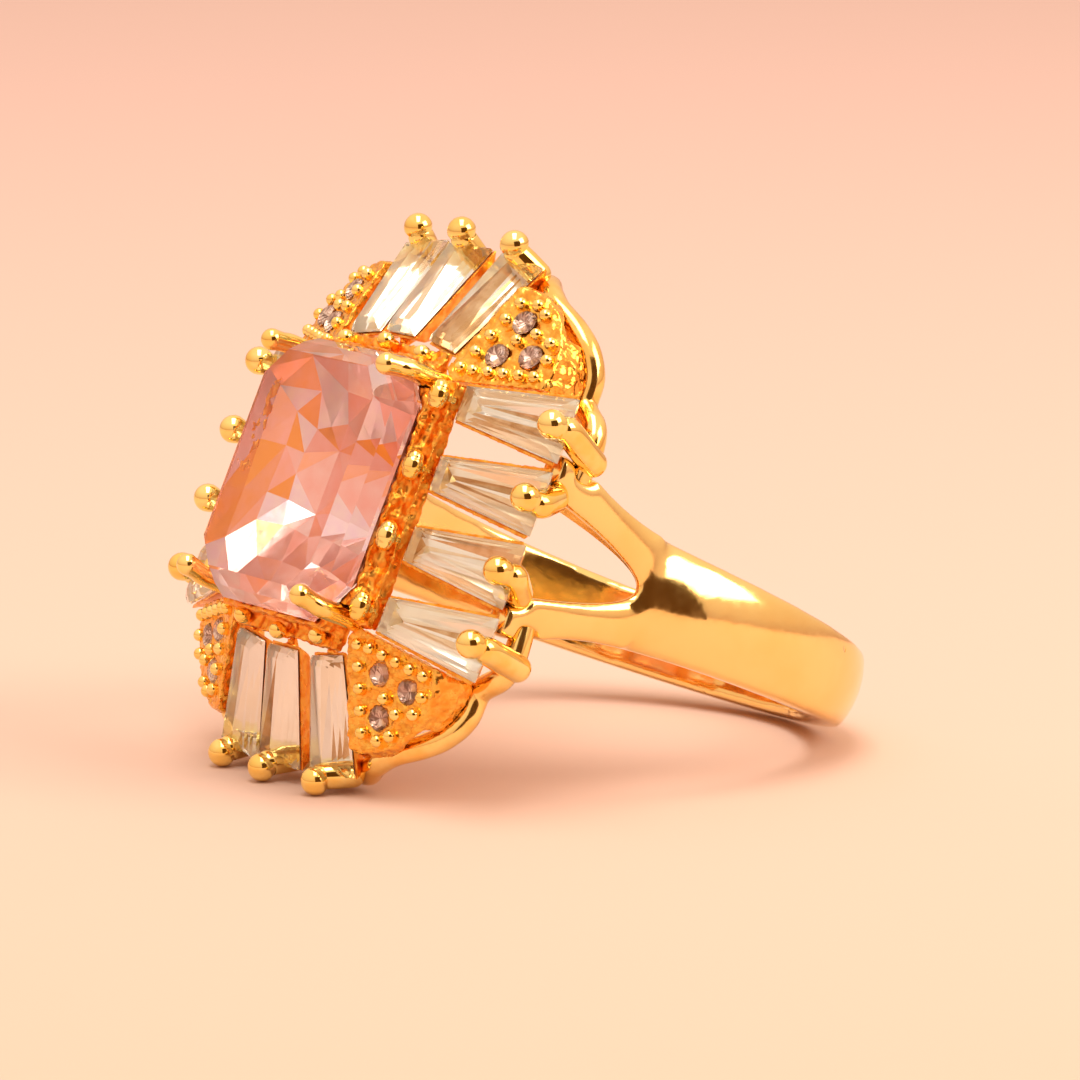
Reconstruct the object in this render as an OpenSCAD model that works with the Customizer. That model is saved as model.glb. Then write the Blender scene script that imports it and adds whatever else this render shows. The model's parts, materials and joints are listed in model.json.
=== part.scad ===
// Cocktail ring, lying on a table.
//
// A pink cut-corner stone stands in a four-claw basket. Fourteen tapered baguettes slope away
// from it like petals, four along each long side and three along each short side, and a plate
// with three small round stones and rows of set beads fills each corner. The head is carried on
// a split shank. Every length is in millimetres.
//
// The sub-parts are written in the ring's own directions: the finger hole's axis is the y axis,
// +z points at the head and x runs across it. lying() then lays the finished ring down on the
// outer balls of its bottom side and on the back edge of the band.

/* [Finger hole] */
// Diameter of the finger hole, US size 7
finger_d = 17.3; // [14:0.1:22]

/* [Shank] */
// Thickness of the band along its middle
band_t = 1.65; // [1.2:0.05:2.5]
// Half the band's width at its back
band_half_w = 1.35; // [0.8:0.05:2]
// Half the width of the two shoulders together, where they reach the head
shoulder_half_w = 3.35; // [2.5:0.05:4.5]
// Half the width of the fork's opening, where it reaches the head
fork_half_w = 1.8; // [0.8:0.05:2.4]
// Angle of the fork's point above the finger's axis, seen from the end of the hole
fork_angle = 26.6; // [18:0.2:34]
// Distance of the shoulders' outer face from the middle, at the head
shoulder_x = 9.3; // [8.5:0.05:9.8]
// Radius of the dome across the band
band_dome_r = 3.4; // [3:0.1:12]

/* [Head] */
// Height of the inner beads above the finger's axis
bead_z = 12.5; // [11:0.1:15]
// Depth of the gallery rail below the inner beads
rail_depth = 4.15; // [3.6:0.05:4.6]
// Diameter of the gallery rail's rod
rail_d = 0.9; // [0.6:0.05:1.3]

/* [Centre stone] */
// Half the stone's width
stone_half_x = 4.5; // [3:0.05:5]
// Half the stone's length
stone_half_y = 4.95; // [3:0.05:6]
// Leg of each cut corner
stone_corner = 1.5; // [0.6:0.05:1.8]
// Height of the stone's girdle above the inner beads
girdle_z = 0.36; // [0.2:0.02:1.2]
// Height of the stone's table above the inner beads
table_z = 1.7; // [1.4:0.05:2.6]

/* [Baguettes] */
// Narrow and wide ends of a long-side baguette
long_side_w = [1.25, 2.35]; // [0.8:0.05:3]
// Narrow and wide ends of a short-side baguette
short_side_w = [1.7, 2.5]; // [0.8:0.05:3]
// Height of a baguette's crown above its girdle
baguette_crown = 0.42; // [0.2:0.02:0.8]
// Depth of a baguette's keel below its girdle
baguette_keel = 0.9; // [0.6:0.05:1.4]
// Thickness of the metal seat round a baguette's underside
seat_wall = 0.14; // [0.1:0.02:0.3]

/* [Beads, balls and claws] */
// Diameter of the balls at the baguettes' wide ends
ball_d = 1.05; // [0.8:0.05:1.4]
// Diameter of the stems below those balls
stem_d = 1.02; // [0.8:0.02:1.3]
// Diameter and length of the inner beads along the long sides
long_bead = [0.76, 1.1]; // [0.5:0.02:1.4]
// Diameter of the inner beads along the short sides
short_bead_d = 0.62; // [0.4:0.02:0.9]
// Diameter of a corner claw and of its ball
claw_d = [0.72, 0.8]; // [0.5:0.02:1]
// Diameter of the small set beads
grain_d = 0.42; // [0.3:0.02:0.46]
// Diameter of the round corner stones
round_stone_d = 0.95; // [0.7:0.05:1.2]

/* [Hidden] */
$fn = 72;
finger_r = finger_d / 2;
band_r = finger_r + band_t;

// Where the long side's baguettes stand across it, and the short side's
long_slots = [1.5, 0.5, -0.5, -1.5];
short_slots = [-1, 0, 1];

// Pitch between neighbours at the inner beads and at the outer balls
long_pitch = [2.62, 2.69];
short_pitch = [2.52, 3.16];

function up(p) = [p[0], p[1], p[2] + bead_z];
function mix(a, b, t) = a + (b - a) * t;

// Long side, right-hand one: inner bead, outer ball, and the baguette's two ends at its girdle
function long_bead_at(slot) = up([4.95, slot * long_pitch[0], 0]);
function long_ball_at(slot) = up([9.71, slot * long_pitch[1], -1.67]);
function long_girdle_in(slot) = up([5.4, slot * long_pitch[0], -0.76]);
function long_girdle_out(slot) = up([9.6, slot * long_pitch[1], -2.5]);

// Short side, top one. Its middle ball stands a little further out and higher than the others
function bow(slot) = 1 - abs(slot);
function short_bead_at(slot) = up([slot * short_pitch[0], 5.28 + 0.2 * bow(slot), -0.32]);
function short_ball_at(slot) =
    up([slot * short_pitch[1], 10.07 + 0.1 * bow(slot), -1.95 + 0.24 * bow(slot)]);
function short_girdle_in(slot) =
    up([slot * short_pitch[0], 5.78 + 0.15 * bow(slot), -1.05 + 0.2 * bow(slot)]);
function short_girdle_out(slot) =
    up([slot * short_pitch[1], 9.95 + 0.1 * bow(slot), -2.75 + 0.24 * bow(slot)]);

// Half of one gallery rail: from inside a shoulder, past the corner, and under the short side
rail_bends = [
    up([9.05, 2.7, -rail_depth]),
    up([9.05, 4.0, -rail_depth]),
    up([8.6, 4.65, -rail_depth]),
    up([7.6, 5.3, -rail_depth]),
    up([7.5, 6.3, -rail_depth + 0.05]),
    up([7.2, 7.1, -rail_depth + 0.35]),
    up([6.6, 7.7, -rail_depth + 0.7]),
    up([5.5, 8.3, -3.1]),
    up([4.5, 8.85, -3.2]),
    up([3.55, 9.15, -3.65]),
    up([2.4, 9.0, -3.68]),
    up([1.0, 8.95, -3.58])
];

// Corner plate of the top right: it slopes down outwards, away from the centre stone
plate_foot = up([4.6, 5.1, -0.88]);
plate_slope = 0.3;
plate_tilt = atan(plate_slope * sqrt(2));
plate_t = 0.75;
function on_plate(p) =
    [p[0], p[1], plate_foot[2] - plate_slope * (p[0] - plate_foot[0] + p[1] - plate_foot[1])];

// Middle of the plate's rounded outer edge, the radius of its skirt, and its round stones
skirt_centre = [4.5, 5.2];
skirt_r = 3.55;
corner_stones = [[5.42, 5.95], [6.72, 6.22], [5.6, 7.38]];

// The ring lies on a bottom ball and on the back edge of the domed band, tilted by this much
rest_ball = short_ball_at(1);
back_edge_r = band_r - band_dome_r + sqrt(pow(band_dome_r, 2) - pow(band_half_w, 2));
rest_span = [rest_ball[2] + back_edge_r, rest_ball[1] - band_half_w];
tilt = atan2(rest_span[1], rest_span[0]) + asin(ball_d / 2 / norm(rest_span));
table_drop = band_half_w * cos(tilt) + back_edge_r * sin(tilt);

// Reach of the lying ring: back of the band behind, lower claws in front
claw_tip = up([3.84, 4.3, 1.76]);
reach_back = band_half_w * sin(tilt) + back_edge_r * cos(tilt);
reach_front = claw_tip[1] * sin(tilt) + claw_tip[2] * cos(tilt) + claw_d[1] / 2;

gold = [0.93, 0.66, 0.22];
deep_gold = [0.85, 0.5, 0.14];
pink = [0.95, 0.6, 0.58, 0.8];
clear_white = [0.95, 0.9, 0.84, 0.6];
smoky = [0.72, 0.62, 0.6, 0.8];

corner_names = ["top_right", "top_left", "bottom_left", "bottom_right"];

// ---- placing and basic shapes ------------------------------------------------------------------

module lying() {
    translate([0, (reach_front - reach_back) / 2, table_drop])
        rotate([90 - tilt, 0, 0])
            children();
}

// The right and top sides repeat half a turn round as the left and bottom sides
module opposite(is_opposite) {
    rotate([0, 0, is_opposite ? 180 : 0]) children();
}

// The top right corner, mirrored into another one by the signs of its x and y
module corner(signs) {
    scale([signs[0], signs[1], 1]) children();
}

// A round rod from a to b
module rod(a, b, d) {
    v = b - a;
    translate(a)
        rotate([0, acos(v[2] / norm(v)), atan2(v[1], v[0])])
            cylinder(h = norm(v), d = d);
}

// Turns +x to run from a to b, with +z kept as near upright as it can be
module along(a, b) {
    v = b - a;
    translate(a)
        rotate([0, -atan2(v[2], norm([v[0], v[1]])), atan2(v[1], v[0])])
            children();
}

// A solid skinned through rings of points, lowest ring first, each anticlockwise from above
module skinned(rings) {
    n = len(rings[0]);
    last = len(rings) - 1;
    polyhedron(
        points = [for (ring = rings, p = ring) p],
        faces = concat(
            [[for (i = [0:n - 1]) i]],
            [for (k = [0:last - 1], i = [0:n - 1])
                [k * n + i, (k + 1) * n + i, (k + 1) * n + (i + 1) % n, k * n + (i + 1) % n]],
            [[for (i = [n - 1:-1:0]) last * n + i]]
        )
    );
}

// Rectangle of half sizes hx and hy with its corners cut off by c, at height z
function cut_corner_ring(hx, hy, c, z) = [
    [hx, -hy + c, z], [hx, hy - c, z], [hx - c, hy, z], [-hx + c, hy, z],
    [-hx, hy - c, z], [-hx, -hy + c, z], [-hx + c, -hy, z], [hx - c, -hy, z]
];

// Trapezoid along x, from width w[0] at x = 0 to w[1] at x = l, drawn in by inset, at height z
function taper_ring(l, w, inset, z) =
    let (
        slope = (w[1] - w[0]) / 2 / l,
        edge = inset * sqrt(1 + slope * slope),
        near = w[0] / 2 + slope * inset - edge,
        far = w[1] / 2 - slope * inset - edge
    )
    [[inset, -near, z], [l - inset, -far, z], [l - inset, far, z], [inset, near, z]];

// ---- shank -------------------------------------------------------------------------------------

// The shoulders stop at this height, and the band passes under the head below it
shoulder_top = bead_z - 2.95;

// Half the shank's width at height z: nearly parallel round the back, spreading to the head
function shank_half_w(z) =
    let (t = min(1, (z + band_r) / (shoulder_top - 1 + band_r)))
    mix(band_half_w, 2.1, t) + (shoulder_half_w - 2.1) * pow(t, 8);

// The shank's outline seen along x, as wide as its half width says
module side_outline() {
    heights = [for (i = [0:24]) mix(-band_r, shoulder_top, i / 24)];
    polygon(concat(
        [for (z = heights) [shank_half_w(z), z]],
        [for (i = [24:-1:0]) [-shank_half_w(heights[i]), heights[i]]]
    ));
}

// The shoulders seen along y: they leave the hoop and stand up outside it to carry the head
module shoulder_outline() {
    polygon([
        [band_r * cos(24), band_r * sin(24)],
        [shoulder_x, band_r * sin(27)],
        [shoulder_x, shoulder_top],
        [8.05, shoulder_top],
        [8.05, shoulder_top - 0.9],
        [5.75, 6.5],
        [5.6, 5.5],
        [8, 3.6]
    ]);
}

// Domed hoop round the finger, open at the top under the head
module hoop() {
    rotate([90, 0, 0])
        rotate_extrude()
            intersection() {
                translate([finger_r - 1, -4]) square([band_t + 1, 8]);
                translate([band_r - band_dome_r, 0]) circle(r = band_dome_r);
            }
}

// A pointed arch cut straight in at the shoulder's middle, so both its edges show from outside
module fork() {
    facing = 35;
    point = band_r * sin(fork_angle - facing);
    arch_h = bead_z - rail_depth - 6 - point;
    heights = [for (i = [0:12]) pow(i / 12, 2) * arch_h];
    rotate([0, -facing, 0])
        rotate([90, 0, 90])
            linear_extrude(2 * band_r)
                polygon(concat(
                    [for (h = heights) [fork_half_w * pow(h / arch_h, 0.55), point + h]],
                    [[fork_half_w, point + arch_h + 4], [-fork_half_w, point + arch_h + 4]],
                    [for (i = [12:-1:1])
                        [-fork_half_w * pow(heights[i] / arch_h, 0.55), point + heights[i]]]
                ));
}

module shank_body() {
    difference() {
        intersection() {
            union() {
                hoop();
                for (half = [0, 180])
                    rotate([90, 0, half])
                        linear_extrude(8, center = true) shoulder_outline();
            }
            rotate([90, 0, 90])
                linear_extrude(3 * band_r, center = true) side_outline();
        }
        // the hoop's top is open between the shoulders
        translate([-5.6, -5, 5.5]) cube([11.2, 10, 6]);
        for (half = [0, 180]) rotate([0, 0, half]) fork();
    }
}

module finger_hole() {
    rotate([90, 0, 0]) cylinder(h = 30, r = finger_r, center = true);
}

module split_shank() {
    color(gold)
        difference() {
            shank_body();
            finger_hole();
            for (half = [false, true]) opposite(half) {
                gallery_tube();
                for (slot = long_slots) long_prong_body(slot);
            }
        }
}

// ---- gallery and basket ------------------------------------------------------------------------

// Point at t (0 to 1) on a smooth curve through four neighbouring bends, between the middle two
function curve_point(p, t) = 0.5 * (
    2 * p[1] + (p[2] - p[0]) * t + (2 * p[0] - 5 * p[1] + 4 * p[2] - p[3]) * t * t
    + (3 * p[1] - p[0] - 3 * p[2] + p[3]) * t * t * t
);

// The whole rail's centre line, right shoulder to left shoulder
function rail_line(steps = 2) =
    let (
        count = len(rail_bends),
        bends = concat(rail_bends, [for (i = [count - 1:-1:0])
            [-rail_bends[i][0], rail_bends[i][1], rail_bends[i][2]]]),
        last = len(bends) - 1
    )
    concat(
        [for (i = [0:last - 1], k = [0:steps - 1])
            curve_point([for (j = [-1:2]) bends[max(0, min(last, i + j))]], k / steps)],
        [bends[last]]
    );

// A round tube skinned along a line of points
module tube(line, d, sides = 12) {
    last = len(line) - 1;
    skinned([for (i = [0:last])
        let (
            ahead = line[min(last, i + 1)] - line[max(0, i - 1)],
            dir = ahead / norm(ahead),
            flat = cross([0, 0, 1], dir),
            across = flat / norm(flat),
            rise = cross(dir, across)
        )
        [for (k = [0:sides - 1])
            line[i] + d / 2 * (across * cos(k * 360 / sides) + rise * sin(k * 360 / sides))]
    ]);
}

module gallery_tube() {
    tube(rail_line(), rail_d);
}

// Two rails carry the outer prongs: one round the top of the head, one round the bottom
module gallery_rail(is_bottom) {
    color(gold) opposite(is_bottom) gallery_tube();
}

// Cut-corner frame between two heights, measured from the inner beads
module frame_block(hx, hy, c, z0, z1) {
    skinned([cut_corner_ring(hx, hy, c, bead_z + z0), cut_corner_ring(hx, hy, c, bead_z + z1)]);
}

// Open frame round the stone with a low ledge on each side for the inner beads' posts
module basket_body() {
    difference() {
        union() {
            frame_block(4.68, 5.12, 1.4, -0.9, girdle_z - 0.12);
            translate([0, 0, bead_z - 0.62]) cube([10.5, 9.2, 0.56], center = true);
            translate([0, 0, bead_z - 0.8]) cube([7.0, 11.25, 0.4], center = true);
        }
        frame_block(3.75, 4.2, 1.1, -3, 2);
    }
}

module centre_basket() {
    color(deep_gold)
        difference() {
            basket_body();
            stone_body();
            for (sx = [1, -1], sy = [1, -1]) corner([sx, sy]) claw_body();
        }
}

// ---- centre stone and its claws ----------------------------------------------------------------

module stone_body() {
    z = bead_z + girdle_z;
    skinned([
        cut_corner_ring(0.45, 0.9, 0.15, z - 2.9),
        cut_corner_ring(2.75, 3.2, 0.75, z - 1.8),
        cut_corner_ring(stone_half_x, stone_half_y, stone_corner, z - 0.08),
        cut_corner_ring(stone_half_x, stone_half_y, stone_corner, z + 0.08),
        cut_corner_ring(stone_half_x - 0.35, stone_half_y - 0.35, stone_corner - 0.1, z + 0.75),
        cut_corner_ring(stone_half_x - 0.85, stone_half_y - 0.85, 1.0, bead_z + table_z)
    ]);
}

module pink_stone() {
    color(pink) stone_body();
}

// A post at the stone's cut corner, leaning in at the top to a ball that holds the crown
module claw_body() {
    foot = up([3.98, 4.43, -0.7]);
    bend = up([3.98, 4.43, 0.9]);
    rod(foot, bend, claw_d[0]);
    translate(bend) sphere(d = claw_d[0] + 0.02);
    rod(bend, claw_tip, claw_d[0] - 0.04);
    translate(claw_tip) sphere(d = claw_d[1]);
}

module claw(signs) {
    color(gold)
        corner(signs)
            difference() {
                claw_body();
                stone_body();
            }
}

// ---- baguettes, their seats, beads and balls ---------------------------------------------------

// Step-cut baguette whose girdle's middle line runs from a to b
module baguette_body(a, b, w) {
    l = norm(b - a);
    along(a, b)
        skinned([
            taper_ring(l, w, w[0] * 0.44, -baguette_keel),
            taper_ring(l, w, w[0] * 0.2, -baguette_keel * 0.6),
            taper_ring(l, w, 0, 0),
            taper_ring(l, w, 0, 0.12),
            taper_ring(l, w, 0.16, 0.12 + (baguette_crown - 0.12) * 0.6),
            taper_ring(l, w, 0.38, baguette_crown)
        ]);
}

module long_baguette_body(slot) {
    baguette_body(long_girdle_in(slot), long_girdle_out(slot), long_side_w);
}

module short_baguette_body(slot) {
    baguette_body(short_girdle_in(slot), short_girdle_out(slot), short_side_w);
}

// n counts from the top on the right-hand side, and half a turn round on the left
module long_baguette(is_left, n) {
    color(clear_white) opposite(is_left) long_baguette_body(long_slots[n - 1]);
}

// n counts from the left on the top side, and half a turn round at the bottom
module short_baguette(is_bottom, n) {
    color(clear_white) opposite(is_bottom) short_baguette_body(short_slots[n - 1]);
}

// Stems of the two middle prongs lean over to the shoulders, the outer two go down to the rail
function is_middle(slot) = abs(slot) < 1;
function long_stem_top(slot) = long_ball_at(slot) + [0.02, 0, -0.38];
function long_stem_foot(slot) = is_middle(slot)
    ? up([9.15, sign(slot) * 1.75, -3.2])
    : up([9.1, slot * 2.53 - 0.35, -rail_depth - 0.1]);
function short_stem_top(slot) = short_ball_at(slot) + [0, -0.26, -0.22];
function short_stem_foot(slot) = up([slot * 3.55, 9.4 - 0.2 * bow(slot), -3.05 - 0.25 * bow(slot)]);

module prong_body(ball, stem_top, stem_foot) {
    rod(stem_top, stem_foot, stem_d);
    for (end = [stem_top, stem_foot]) translate(end) sphere(d = stem_d + 0.02);
    translate(ball) sphere(d = ball_d);
}

module long_prong_body(slot) {
    prong_body(long_ball_at(slot), long_stem_top(slot), long_stem_foot(slot));
}

module short_prong_body(slot) {
    prong_body(short_ball_at(slot), short_stem_top(slot), short_stem_foot(slot));
}

module outer_prongs_long(is_left) {
    color(gold)
        opposite(is_left)
            for (slot = long_slots)
                difference() {
                    long_prong_body(slot);
                    long_baguette_body(slot);
                    for (half = [false, true]) opposite(half) gallery_tube();
                }
}

module outer_prongs_short(is_bottom) {
    color(gold)
        opposite(is_bottom)
            for (slot = short_slots)
                difference() {
                    short_prong_body(slot);
                    short_baguette_body(slot);
                    gallery_tube();
                }
}

// Inner beads of a long side lie along it like grains of rice, each on a short post
module inner_beads_long(is_left) {
    straight = (long_bead[1] - long_bead[0]) / 2;
    color(gold)
        opposite(is_left)
            for (slot = long_slots) {
                p = long_bead_at(slot);
                difference() {
                    union() {
                        rod(p - [0, straight, 0], p + [0, straight, 0], long_bead[0]);
                        for (s = [1, -1])
                            translate(p + [0, s * straight, 0]) sphere(d = long_bead[0] + 0.02);
                        rod(p - [0, 0, 0.5], p, long_bead[0] - 0.1);
                    }
                    basket_body();
                    stone_body();
                    long_baguette_body(slot);
                }
            }
}

module inner_beads_short(is_bottom) {
    color(gold)
        opposite(is_bottom)
            for (slot = short_slots) {
                p = short_bead_at(slot);
                difference() {
                    union() {
                        translate(p) sphere(d = short_bead_d);
                        rod(p - [0, 0, 0.5], p, short_bead_d - 0.12);
                    }
                    basket_body();
                    stone_body();
                    short_baguette_body(slot);
                }
            }
}

// A seat: a tapered trough round the stone's underside, a little short of the stone's wide end,
// and a leg to the basket
module seat_body(ledge, a, b, w) {
    l = norm(b - a) - 0.3;
    along(a, b)
        skinned([
            taper_ring(l, w, w[0] * 0.44 - seat_wall, -baguette_keel - seat_wall),
            taper_ring(l, w, w[0] * 0.2 - seat_wall, -baguette_keel * 0.6 - seat_wall / 2),
            taper_ring(l, w, -seat_wall, -0.04)
        ]);
    heel = mix(a, b, 0.12) - [0, 0, baguette_keel * 0.7];
    rod(ledge, heel, 0.38);
}

module seats_long(is_left) {
    color(deep_gold)
        opposite(is_left)
            for (slot = long_slots)
                difference() {
                    seat_body(
                        long_bead_at(slot) + [-0.25, 0, -0.62],
                        long_girdle_in(slot),
                        long_girdle_out(slot),
                        long_side_w
                    );
                    long_baguette_body(slot);
                    basket_body();
                    stone_body();
                    long_prong_body(slot);
                }
}

module seats_short(is_bottom) {
    color(deep_gold)
        opposite(is_bottom)
            for (slot = short_slots)
                difference() {
                    seat_body(
                        short_bead_at(slot) + [0, -0.2 * bow(slot), -0.48],
                        short_girdle_in(slot),
                        short_girdle_out(slot),
                        short_side_w
                    );
                    short_baguette_body(slot);
                    basket_body();
                    stone_body();
                    short_prong_body(slot);
                    gallery_tube();
                }
}

// ---- corner plates -----------------------------------------------------------------------------

// The wedge between the last baguettes of two sides, in plan
module corner_wedge() {
    polygon([[3.75, 5.0], [4.2, 4.56], [9.5, 5.38], [9.5, 11], [4.75, 11]]);
}

// Everything below the plate's upper face, lowered by a drop
module under_plate(drop) {
    translate(plate_foot - [0, 0, drop])
        rotate(a = plate_tilt, v = [-1, 1, 0])
            translate([-8, -8, -12]) cube([16, 16, 12]);
}

// Upright wall of the corner, curved in plan, drawn in a little at its foot
module skirt_block(inset) {
    translate([skirt_centre[0], skirt_centre[1], bead_z - rail_depth + 0.3])
        rotate_extrude()
            polygon([
                [0, 0],
                [skirt_r - 0.25 - inset, 0],
                [skirt_r - inset, 0.7],
                [skirt_r - inset, 1.6],
                [skirt_r - 0.5 - inset, 3.6],
                [0, 3.6]
            ]);
}

// Drop-shaped opening through the skirt, pointed towards the short side
module skirt_opening() {
    translate([skirt_centre[0], skirt_centre[1], bead_z - 3.05])
        rotate([0, 0, 42])
            rotate([90, 0, 90])
                linear_extrude(6) {
                    circle(d = 0.9);
                    polygon([[0.1, 0.43], [0.1, -0.43], [1.45, 0.12]]);
                }
}

module plate_body() {
    difference() {
        intersection() {
            translate([0, 0, bead_z - 6]) linear_extrude(6) corner_wedge();
            skirt_block(0);
            under_plate(0);
        }
        intersection() {
            translate([0, 0, -0.5]) skirt_block(0.6);
            under_plate(plate_t);
        }
        skirt_opening();
        // the skirt stops where the rail rises
        translate(rail_bends[6])
            rotate([0, -12, 129])
                translate([-6, -6, -6]) cube([12, 12, 6]);
    }
}

// A round brilliant lying in the plate: pointed below its girdle, flat table above
module round_stone_body(n) {
    levels = [[0.1, -0.42], [1, 0], [1, 0.06], [0.58, 0.2]];
    translate(on_plate(corner_stones[n - 1]))
        rotate(a = plate_tilt, v = [-1, 1, 0])
            skinned([for (level = levels)
                [for (i = [0:11])
                    let (r = level[0] * round_stone_d / 2)
                    [r * cos(i * 30), r * sin(i * 30), level[1]]]]);
}

module plate(signs) {
    color(gold)
        corner(signs)
            difference() {
                plate_body();
                for (n = [1:3]) round_stone_body(n);
                gallery_tube();
                claw_body();
                short_prong_body(1);
            }
}

module round_stone(signs, n) {
    color(smoky) corner(signs) round_stone_body(n);
}

// Set beads: a row along each straight edge, four round the rim, and two between the stones
edge_grains = concat(
    [for (i = [0:4]) mix([4.95, 5.16], [7.45, 5.52], i / 4)],
    [for (i = [0:4]) mix([4.42, 5.15], [5.02, 8.0], i / 4)],
    [for (a = [19, 32, 56, 67]) skirt_centre + 3.15 * [cos(a), sin(a)]]
);
inner_grains = [[5.83, 6.65], [6.42, 7.05]];

module grains(signs) {
    color(gold)
        corner(signs)
            for (p = concat(edge_grains, inner_grains))
                translate(on_plate(p))
                    rotate(a = plate_tilt, v = [-1, 1, 0])
                        intersection() {
                            translate([0, 0, 0.06]) sphere(d = grain_d);
                            translate([-0.5, -0.5, 0]) cube(1);
                        }
}

// ---- the assembly ------------------------------------------------------------------------------

lying() split_shank();
lying() gallery_rail(false);  // gallery_rail_top
lying() gallery_rail(true);  // gallery_rail_bottom
lying() centre_basket();
lying() pink_stone();

lying() claw([1, 1]);  // claw_top_right
lying() claw([-1, 1]);  // claw_top_left
lying() claw([-1, -1]);  // claw_bottom_left
lying() claw([1, -1]);  // claw_bottom_right

lying() plate([1, 1]);  // plate_top_right
lying() plate([-1, 1]);  // plate_top_left
lying() plate([-1, -1]);  // plate_bottom_left
lying() plate([1, -1]);  // plate_bottom_right

lying() grains([1, 1]);  // grains_top_right
lying() grains([-1, 1]);  // grains_top_left
lying() grains([-1, -1]);  // grains_bottom_left
lying() grains([1, -1]);  // grains_bottom_right

lying() round_stone([1, 1], 1);  // round_stone_top_right_1
lying() round_stone([1, 1], 2);  // round_stone_top_right_2
lying() round_stone([1, 1], 3);  // round_stone_top_right_3
lying() round_stone([-1, 1], 1);  // round_stone_top_left_1
lying() round_stone([-1, 1], 2);  // round_stone_top_left_2
lying() round_stone([-1, 1], 3);  // round_stone_top_left_3
lying() round_stone([-1, -1], 1);  // round_stone_bottom_left_1
lying() round_stone([-1, -1], 2);  // round_stone_bottom_left_2
lying() round_stone([-1, -1], 3);  // round_stone_bottom_left_3
lying() round_stone([1, -1], 1);  // round_stone_bottom_right_1
lying() round_stone([1, -1], 2);  // round_stone_bottom_right_2
lying() round_stone([1, -1], 3);  // round_stone_bottom_right_3

lying() inner_beads_long(false);  // inner_beads_right
lying() inner_beads_long(true);  // inner_beads_left
lying() inner_beads_short(false);  // inner_beads_top
lying() inner_beads_short(true);  // inner_beads_bottom

lying() outer_prongs_long(false);  // outer_prongs_right
lying() outer_prongs_long(true);  // outer_prongs_left
lying() outer_prongs_short(false);  // outer_prongs_top
lying() outer_prongs_short(true);  // outer_prongs_bottom

lying() seats_long(false);  // seats_right
lying() seats_long(true);  // seats_left
lying() seats_short(false);  // seats_top
lying() seats_short(true);  // seats_bottom

lying() long_baguette(false, 1);  // baguette_right_1
lying() long_baguette(false, 2);  // baguette_right_2
lying() long_baguette(false, 3);  // baguette_right_3
lying() long_baguette(false, 4);  // baguette_right_4
lying() long_baguette(true, 1);  // baguette_left_1
lying() long_baguette(true, 2);  // baguette_left_2
lying() long_baguette(true, 3);  // baguette_left_3
lying() long_baguette(true, 4);  // baguette_left_4
lying() short_baguette(false, 1);  // baguette_top_1
lying() short_baguette(false, 2);  // baguette_top_2
lying() short_baguette(false, 3);  // baguette_top_3
lying() short_baguette(true, 1);  // baguette_bottom_1
lying() short_baguette(true, 2);  // baguette_bottom_2
lying() short_baguette(true, 3);  // baguette_bottom_3
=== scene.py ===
"""Looks for the cocktail ring: polished gold plate and foil-backed stones on a pale table."""

import json
import math
import random

import bpy
import numpy as np
from mathutils import Matrix, Vector, noise


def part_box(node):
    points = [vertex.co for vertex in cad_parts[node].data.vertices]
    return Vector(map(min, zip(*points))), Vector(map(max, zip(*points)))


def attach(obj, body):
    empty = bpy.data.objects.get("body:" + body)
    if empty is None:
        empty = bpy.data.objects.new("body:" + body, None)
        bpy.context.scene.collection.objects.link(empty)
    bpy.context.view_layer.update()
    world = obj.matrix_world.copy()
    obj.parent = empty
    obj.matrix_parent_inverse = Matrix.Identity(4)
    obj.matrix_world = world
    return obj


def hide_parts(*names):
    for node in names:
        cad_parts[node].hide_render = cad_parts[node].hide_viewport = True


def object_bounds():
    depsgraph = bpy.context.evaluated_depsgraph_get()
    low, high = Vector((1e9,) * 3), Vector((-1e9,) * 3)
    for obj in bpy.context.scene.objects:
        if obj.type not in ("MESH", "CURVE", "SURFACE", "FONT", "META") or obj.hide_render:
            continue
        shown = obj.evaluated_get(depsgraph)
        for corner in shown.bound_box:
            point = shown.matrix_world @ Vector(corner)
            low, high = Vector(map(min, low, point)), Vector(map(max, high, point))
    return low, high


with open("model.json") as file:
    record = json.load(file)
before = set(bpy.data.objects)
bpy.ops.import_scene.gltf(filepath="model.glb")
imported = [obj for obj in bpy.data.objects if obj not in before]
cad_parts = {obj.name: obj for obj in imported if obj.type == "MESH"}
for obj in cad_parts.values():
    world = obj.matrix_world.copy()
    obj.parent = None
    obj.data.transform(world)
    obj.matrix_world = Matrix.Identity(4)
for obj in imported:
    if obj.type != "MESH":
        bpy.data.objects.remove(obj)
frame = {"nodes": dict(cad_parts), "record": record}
CAD_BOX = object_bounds()

MM = 0.001

# The ring's own axes, from the finger hole's mount: across the head, along the finger, out of the
# finger to the head. Points below are in millimetres on these axes unless a name ends in _m.
MOUNT = frame["record"]["mounts"][0]
HOLE_M = np.array(MOUNT["pos_m"])
ALONG = np.array(MOUNT["axis"]) / np.linalg.norm(MOUNT["axis"])
ACROSS = np.array([1.0, 0.0, 0.0])
OUT = np.cross(ACROSS, ALONG)
AXES = np.array([ACROSS, ALONG, OUT])

BEADS = 12.5                # height of the inner beads above the finger hole's centre
STONE_HALF = (4.5, 4.95)    # half the centre stone's width and length
GIRDLE = 0.36               # the centre stone's girdle above the inner beads
TABLE = 1.7                 # the centre stone's table above the inner beads
PLATE_SLOPE = 0.3           # how far a corner plate falls for each mm outwards

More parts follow.
